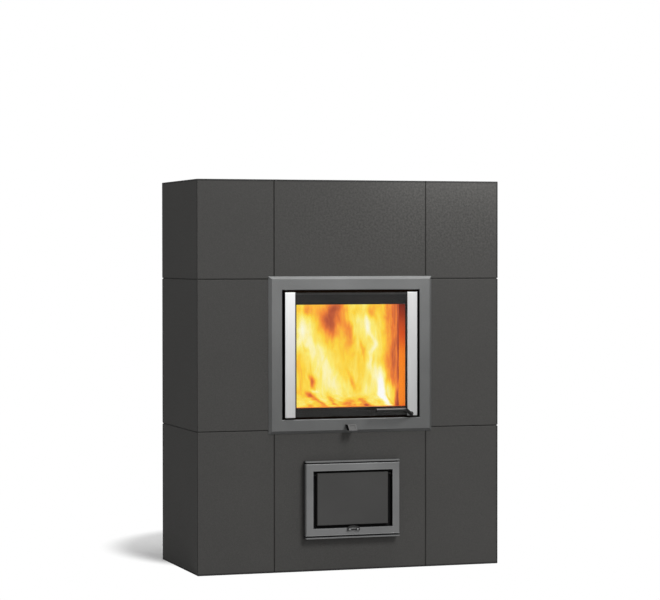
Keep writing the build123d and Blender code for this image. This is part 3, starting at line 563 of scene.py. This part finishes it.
def pane_finish():
    """Clear glass ceramic, faintly amber."""
    s = Shade("pane_finish").set(Roughness=0.02, IOR=1.5, Transmission_Weight=1.0)
    haze = s.noise(30.0, 2.0, 0.5)
    return s.colour(s.two_tone(haze, (0.97, 0.96, 0.94), (1.0, 0.995, 0.985))).material


def enamel_finish():
    """The dark ceramic print on the edge of the pane, with a painted highlight in grey along its
    head.
    """
    s = Shade("enamel_finish").set(IOR=1.3)
    grain = s.noise(500.0, 2.0, 0.5)
    print_tone = s.two_tone(grain, (0.018, 0.0177, 0.0174), (0.026, 0.0255, 0.025))
    # painted highlight: the print turns greyer just below the pane's head
    painted_print_highlight = s.between(s.axis("Z"), *(glass_high[2] - drop for drop in PRINT_HIGHLIGHT_BAND))
    s.colour(s.mix(painted_print_highlight, print_tone, grey(0.05)))
    return s.rough(grain, 0.45, 0.6).material


def charred_wood_finish():
    """Burning wood: black crust with glowing cracks."""
    s = Shade("charred_wood_finish").set(Roughness=0.95, Emission_Strength=2.5)
    crust = s.node("ShaderNodeTexVoronoi", feature="DISTANCE_TO_EDGE")
    crust.inputs["Scale"].default_value = 70.0
    s.link(s.place, crust.inputs["Vector"])
    crust = crust.outputs["Distance"]
    cracks = s.two_tone(crust, grey(1.0), grey(0.0), 0.0, 0.12)
    embers = s.two_tone(s.noise(12.0, 3.0, 0.6), grey(0.1), grey(1.0), 0.4)
    s.colour(s.two_tone(crust, (0.05, 0.03, 0.02), (0.02, 0.016, 0.014), 0.0, 0.5))
    hot = s.tinted(s.tinted(cracks, embers), (1.0, 0.22, 0.02))
    s.link(hot, s.shader.inputs["Emission Color"])
    return s.bump(crust, 0.8, 0.002).material


def flame_finish(name, seed, warmth, solid):
    """Glowing gas: soft wandering tongues, with the patches that the fire shows."""
    s = Shade(name)
    tongues = s.noise(1.0, 3.0, 0.5, stretch=(11.0, 11.0, 4.5), distortion=0.8, offset=seed)
    wisps = s.noise(1.0, 3.0, 0.5, stretch=(40.0, 40.0, 12.0), distortion=1.6, offset=seed + 3.0)
    heat = s.plus(s.plus(s.times(tongues, 0.62), s.times(wisps, 0.28)), warmth)
    x, z = s.axis("X"), s.axis("Z")
    heat = s.minus(heat, s.times(s.between(x, *COOLER_FLAME_X), 0.33))
    # along the right lining: cooler towards the pane, and warmer at the foot
    depth = s.times(s.axis("Y"), -1.0)
    cool = s.plus(
        s.times(s.between(depth, 0.05, 0.11), 0.13), s.times(s.between(depth, 0.128, 0.138), 0.09))
    warm = s.times(s.between(z, 0.605, 0.555), s.between(depth, 0.128, 0.105), 0.24)
    heat = s.plus(heat, s.times(s.between(x, *LINING_FLAME_X), s.minus(warm, cool)))
    # the patches wander a little, so that none of them looks round
    drift = s.noise(1.0, 2.0, 0.5, stretch=(16.0, 16.0, 12.0), offset=11.0)
    lift = s.noise(1.0, 2.0, 0.5, stretch=(16.0, 16.0, 12.0), offset=23.0)
    x = s.plus(x, s.times(s.minus(drift, 0.5), FLAME_DRIFT))
    z = s.plus(z, s.times(s.minus(lift, 0.5), FLAME_DRIFT))
    for centre_x, centre_z, half_width, half_height, slant, amount in PATCHES:
        up = s.minus(z, centre_z)
        along = s.minus(s.minus(x, centre_x), s.times(up, slant))
        dx = s.maths("DIVIDE", along, half_width)
        dz = s.maths("DIVIDE", up, half_height)
        far = s.plus(s.times(dx, dx), s.times(dz, dz))
        bell = s.maths("POWER", NATURAL_BASE, s.times(far, -1.0))
        heat = s.plus(heat, s.times(bell, amount))
    emission = s.node("ShaderNodeEmission")
    s.link(s.ramp(heat, FLAME_COLOURS), emission.inputs["Color"])
    emission.inputs["Strength"].default_value = FLAME_STRENGTH
    gas = emission.outputs[0]
    if not solid:
        clear = s.node("ShaderNodeBsdfTransparent").outputs[0]
        gas = s.blend(s.two_tone(heat, grey(0.8), grey(1.0), 0.1, 0.3), clear, gas)
    s.surface(gas)
    s.tree.nodes.remove(s.shader)
    return s.material


def floor_finish():
    """A pale floor that turns white and then clear further out."""
    s = Shade("floor_finish").set(Roughness=0.9, Specular_IOR_Level=0.0)
    seen = s.node("ShaderNodeLightPath").outputs["Is Camera Ray"]
    pale = s.two_tone(s.noise(60.0, 2.0, 0.5), grey(0.9), grey(0.92))
    s.colour(s.mix(seen, grey(0.45), pale))
    aside = s.maths("DIVIDE", s.axis("X"), FLOOR_OVAL[0])
    behind = s.maths("DIVIDE", s.minus(s.axis("Y"), FLOOR_OVAL_Y), FLOOR_OVAL[1])
    away = s.maths("SQRT", s.plus(s.times(aside, aside), s.times(behind, behind)))
    white = s.node("ShaderNodeEmission").outputs[0]
    lit = s.blend(s.times(s.between(away, *FLOOR_WHITE), seen), s.shader.outputs[0], white)
    reach = s.node("ShaderNodeVectorMath", operation="LENGTH")
    s.link(s.place, reach.inputs[0])
    fade = s.between(reach.outputs["Value"], FLOOR_CLEAR_FROM, FLOOR_RADIUS)
    clear = s.node("ShaderNodeBsdfTransparent").outputs[0]
    return s.surface(s.blend(fade, lit, clear)).material


# ---------------------------------------------------------------- pieces that only the scene has
def add_object(name, data):
    made = bpy.data.objects.new(name, data)
    bpy.context.scene.collection.objects.link(made)
    return made


def mesh_piece(name, vertices, faces, finish, smooth=False):
    mesh = bpy.data.meshes.new(name)
    mesh.from_pydata(vertices, [], faces)
    mesh.materials.append(finish)
    for face in mesh.polygons:
        face.use_smooth = smooth
    return add_object(name, mesh)


def enamel_border():
    """The printed border of the pane, 0.2 mm in front of its rear face."""
    left, right = glass_low[0] + PRINT_INSET_X, glass_high[0] - PRINT_INSET_X
    foot, head = glass_low[2] + PRINT_INSET_Z, glass_high[2] - PRINT_INSET_Z
    corners = [
        (left, foot), (right, foot), (right, head), (left, head),
        (-WINDOW_HALF, WINDOW_LOW), (WINDOW_HALF, WINDOW_LOW),
        (WINDOW_HALF, WINDOW_HIGH), (-WINDOW_HALF, WINDOW_HIGH),
    ]
    ring = [(x, glass_high[1] - PRINT_DEPTH, z) for x, z in corners]
    faces = [(i, (i + 1) % 4, 4 + (i + 1) % 4, 4 + i) for i in range(4)]
    made = mesh_piece("enamel_border", ring, faces, enamel_finish())
    made.modifiers.new("thickness", "SOLIDIFY").thickness = PRINT_THICKNESS
    return made


def flame_sheet(name, y, sway, finish, half, low, high, hook=0.0, flare=0.0):
    """A curtain of flame that bellies forwards by sway.

    It turns forwards along the right lining by hook, and its foot spreads forwards by flare.
    """
    vertices = []
    length = 2 * half + hook
    for row in range(FLAME_CELLS + 1):
        v = row / FLAME_CELLS
        spread = flare * max(0.0, 1 - v / FLARE_HEIGHT) ** 2
        for column in range(FLAME_CELLS + 1):
            run = column / FLAME_CELLS * length
            x = min(run, 2 * half) - half
            u = x / half
            wave = math.sin(5.0 * u + 3.0 * v + 40 * y) + 0.5 * math.sin(11.0 * u - 4.0 * v)
            belly = sway * (1 - u * u) * (0.6 + 0.25 * wave)
            reach = max(spread, run - 2 * half)
            vertices.append((x, y - belly - reach, low + v * (high - low)))
    faces = []
    for row in range(FLAME_CELLS):
        for column in range(FLAME_CELLS):
            start = row * (FLAME_CELLS + 1) + column
            over = start + FLAME_CELLS + 1
            faces.append((start, start + 1, over + 1, over))
    return mesh_piece(name, vertices, faces, finish, smooth=True)


def firewood(name, start, end, radius, seed, finish):
    """A split log with an uneven surface."""
    rng = random.Random(seed)
    axis = Vector(end) - Vector(start)
    side = axis.orthogonal().normalized()
    other = axis.cross(side).normalized()
    rings, around = 18, 22
    turns = [2 * math.pi * index / around for index in range(around)]
    profile = [1.0 - 0.22 * max(0.0, math.cos(turn - 0.8)) ** 3 for turn in turns]
    profile = [p * (1 + rng.uniform(-0.05, 0.05)) for p in profile]
    vertices = []
    for ring in range(rings + 1):
        t = ring / rings
        centre = Vector(start) + axis * t
        bow = 0.06 * math.sin(math.pi * t)
        for share, turn in zip(profile, turns):
            size = radius * share * (1 + bow + rng.uniform(-0.025, 0.025))
            vertices.append(centre + side * size * math.cos(turn) + other * size * math.sin(turn))
    faces = []
    for ring in range(rings):
        for index in range(around):
            a = ring * around + index
            b = ring * around + (index + 1) % around
            faces.append((a, b, b + around, a + around))
    faces.append(tuple(reversed(range(around))))
    faces.append(tuple(range(rings * around, (rings + 1) * around)))
    return mesh_piece(name, [tuple(v) for v in vertices], faces, finish, smooth=True)


def floor():
    """A disc round the stove's foot."""
    rings, around = 12, 64
    vertices = [(0.0, 0.0, 0.0)]
    for ring in range(1, rings + 1):
        radius = FLOOR_RADIUS * ring / rings
        for index in range(around):
            angle = 2 * math.pi * index / around
            vertices.append((radius * math.cos(angle), radius * math.sin(angle), 0.0))
    faces = [(0, 1 + i, 1 + (i + 1) % around) for i in range(around)]
    for ring in range(rings - 1):
        for index in range(around):
            a = 1 + ring * around + index
            b = 1 + ring * around + (index + 1) % around
            faces.append((a, a + around, b + around, b))
    return mesh_piece("floor", vertices, faces, floor_finish())


# ---------------------------------------------------------------- finishes of the CAD nodes
def paint(node, finish):
    """Give a CAD node its finish."""
    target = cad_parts[node]
    if not target.material_slots:
        target.data.materials.append(finish)
    for place in target.material_slots:
        place.material = finish


CAD_FINISHES = [
    (mortar_finish(), ["joint_mortar"]),
    (
        cast_stone_finish("refractory_finish", (0.36, 0.33, 0.29), (0.5, 0.47, 0.42), 220.0),
        [
            "base_slab", "plinth_blocks", "ash_floor_slab", "ash_chamber_wall_left",
            "ash_chamber_wall_right", "ash_chamber_wall_rear", "ash_chamber_lintel",
            "smoke_chamber_front", "smoke_chamber_rear", "storage_blocks_left",
            "storage_blocks_right", "core_cap",
        ],
    ),
    (
        cast_stone_finish("fireclay_finish", (0.42, 0.33, 0.24), (0.58, 0.47, 0.35), 260.0),
        ["hearth_brick_left", "hearth_brick_right", "hearth_cross_bricks"],
    ),
    (fire_lining_finish(), ["firebox_lining_left", "firebox_lining_right", "firebox_lining_rear"]),
    (
        cast_stone_finish("vermiculite_finish", (0.46, 0.4, 0.3), (0.62, 0.55, 0.43), 160.0),
        ["baffle_plate", "insulation_board", "ash_door_liner"],
    ),
    (cast_iron_finish(), ["fire_grate"]),
    (
        frame_paint_finish(
            "frame_paint_finish", (0.160, 0.163, 0.162), 0.40, 0.35, FRAME_OPENING,
            shade_heights=FRAME_SHADE_HEIGHTS),
        ["door_frame"],
    ),
    (
        frame_paint_finish(
            "hatch_paint_finish", (0.160, 0.162, 0.162), 0.45, 0.2, HATCH_OPENING, HATCH_OUTLINE),
        ["ash_frame_cover"],
    ),
    (hatch_base_finish(), ["ash_frame_base"]),
    (frame_paint_finish("leaf_paint_finish", (0.0385, 0.038, 0.0365), 0.6, 0.1), ["ash_door_leaf"]),
    (tab_finish(), ["air_tab"]),
    (pin_finish(), ["ash_hatch_pins", "door_hinge_pins"]),
    (
        black_steel_finish(),
        ["latch_keeper", "latch_tongue", "air_duct", "flue_collar", "ash_latch"],
    ),
    (
        brushed_finish("strip_steel_finish", (700.0, 700.0, 3.0), (0.78, 0.78, 0.777), 0.30, 0.03),
        ["trim_strip_left", "trim_strip_right"],
    ),
    (
        brushed_finish(
            "handle_steel_finish", (30.0, 900.0, 900.0), (0.055, 0.054, 0.053), 0.36, 0.1),
        ["door_handle"],
    ),
    (throat_finish("cassette_finish", -1.0), ["door_cassette"]),
    (throat_finish("leaf_steel_finish", glass_low[1] + 0.004), ["door_leaf"]),
    (
        brushed_finish("sheet_steel_finish", (500.0, 20.0, 500.0), grey(0.3), 0.42, 0.1),
        ["air_slider", "ash_pan"],
    ),
    (pane_finish(), ["door_glass"]),
    (fibre_finish(), ["glass_gasket", "door_seal"]),
]
for finish, nodes in CAD_FINISHES:
    for node in nodes:
        paint(node, finish)
for seed, node in enumerate(sorted(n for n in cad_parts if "_tile_" in n)):
    paint(node, tile_finish(f"{node}_finish", 7.0 * seed))

border = enamel_border()
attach(border, "fire_door")

charred = charred_wood_finish()
fire = [
    flame_sheet(
        "flames_back", 0.05, 0.03, flame_finish("flame_back_finish", 5.0, 0.16, True),
        lining_inner_x - 0.006, grate_top + 0.004, baffle_low - 0.01),
    flame_sheet(
        "flames_front", -0.045, 0.012, flame_finish("flame_front_finish", 0.0, 0.20, False),
        lining_inner_x - 0.002, grate_top + 0.002, baffle_low - 0.004, hook=0.118, flare=0.085),
    firewood(
        "firewood_left", (-0.15, -0.005, grate_top + 0.028), (0.02, 0.035, grate_top + 0.028),
        0.026, 3, charred),
    firewood(
        "firewood_right", (0.03, 0.035, grate_top + 0.03), (0.16, -0.01, grate_top + 0.03),
        0.028, 5, charred),
]
for piece in fire:
    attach(piece, "root")


# ---------------------------------------------------------------- floor, light and camera
def softbox(name, place, target, size, power):
    """A rectangular light that the camera doesn't see."""
    data = bpy.data.lights.new(name, "AREA")
    data.shape = "RECTANGLE"
    data.size, data.size_y = size
    data.energy = power
    lamp = add_object(name, data)
    lamp.location = place
    lamp.rotation_euler = (Vector(target) - Vector(place)).to_track_quat("-Z", "Y").to_euler()
    lamp.visible_camera = False


def fire_glow():
    """The light of the flames on the linings and the throat."""
    data = bpy.data.lights.new("fire_glow", "POINT")
    data.energy = GLOW_POWER
    data.color = (1.0, 0.40, 0.10)
    data.shadow_soft_size = GLOW_RADIUS
    lamp = add_object("fire_glow", data)
    lamp.location = GLOW_PLACE
    lamp.visible_camera = False
    lamp.visible_transmission = False
    lamp.visible_glossy = False


def surroundings():
    """White behind everything, and a softer light from all round."""
    world = bpy.data.worlds.new("studio")
    bpy.context.scene.world = world
    world.use_nodes = True
    tree = world.node_tree
    ambient = tree.nodes["Background"]
    ambient.inputs["Color"].default_value = (1.0, 1.0, 1.0, 1.0)
    ambient.inputs["Strength"].default_value = AMBIENT_STRENGTH
    white = tree.nodes.new("ShaderNodeBackground")
    white.inputs["Color"].default_value = (1.0, 1.0, 1.0, 1.0)
    path = tree.nodes.new("ShaderNodeLightPath")
    blend = tree.nodes.new("ShaderNodeMixShader")
    tree.links.new(path.outputs["Is Camera Ray"], blend.inputs[0])
    tree.links.new(ambient.outputs[0], blend.inputs[1])
    tree.links.new(white.outputs[0], blend.inputs[2])
    tree.links.new(blend.outputs[0], tree.nodes["World Output"].inputs["Surface"])


def fitted_camera():
    lens = bpy.data.cameras.new("camera")
    lens.sensor_width = SENSOR_WIDTH
    lens.lens = FOCAL_PIXELS * SENSOR_WIDTH / PICTURE_PIXELS
    lens.clip_end = 60.0
    camera = add_object("camera", lens)
    camera.location = CAMERA_PLACE
    # at zero a camera looks straight down, so 90 degrees of pitch are level
    camera.rotation_euler = (
        math.radians(90 + CAMERA_PITCH), math.radians(CAMERA_ROLL), math.radians(CAMERA_YAW))
    return camera


floor()
surroundings()
for lamp in SOFTBOXES:
    softbox(*lamp)
fire_glow()
bpy.context.scene.camera = fitted_camera()
bpy.context.scene.view_settings.view_transform = "Standard"
bpy.context.scene.view_settings.look = "None"
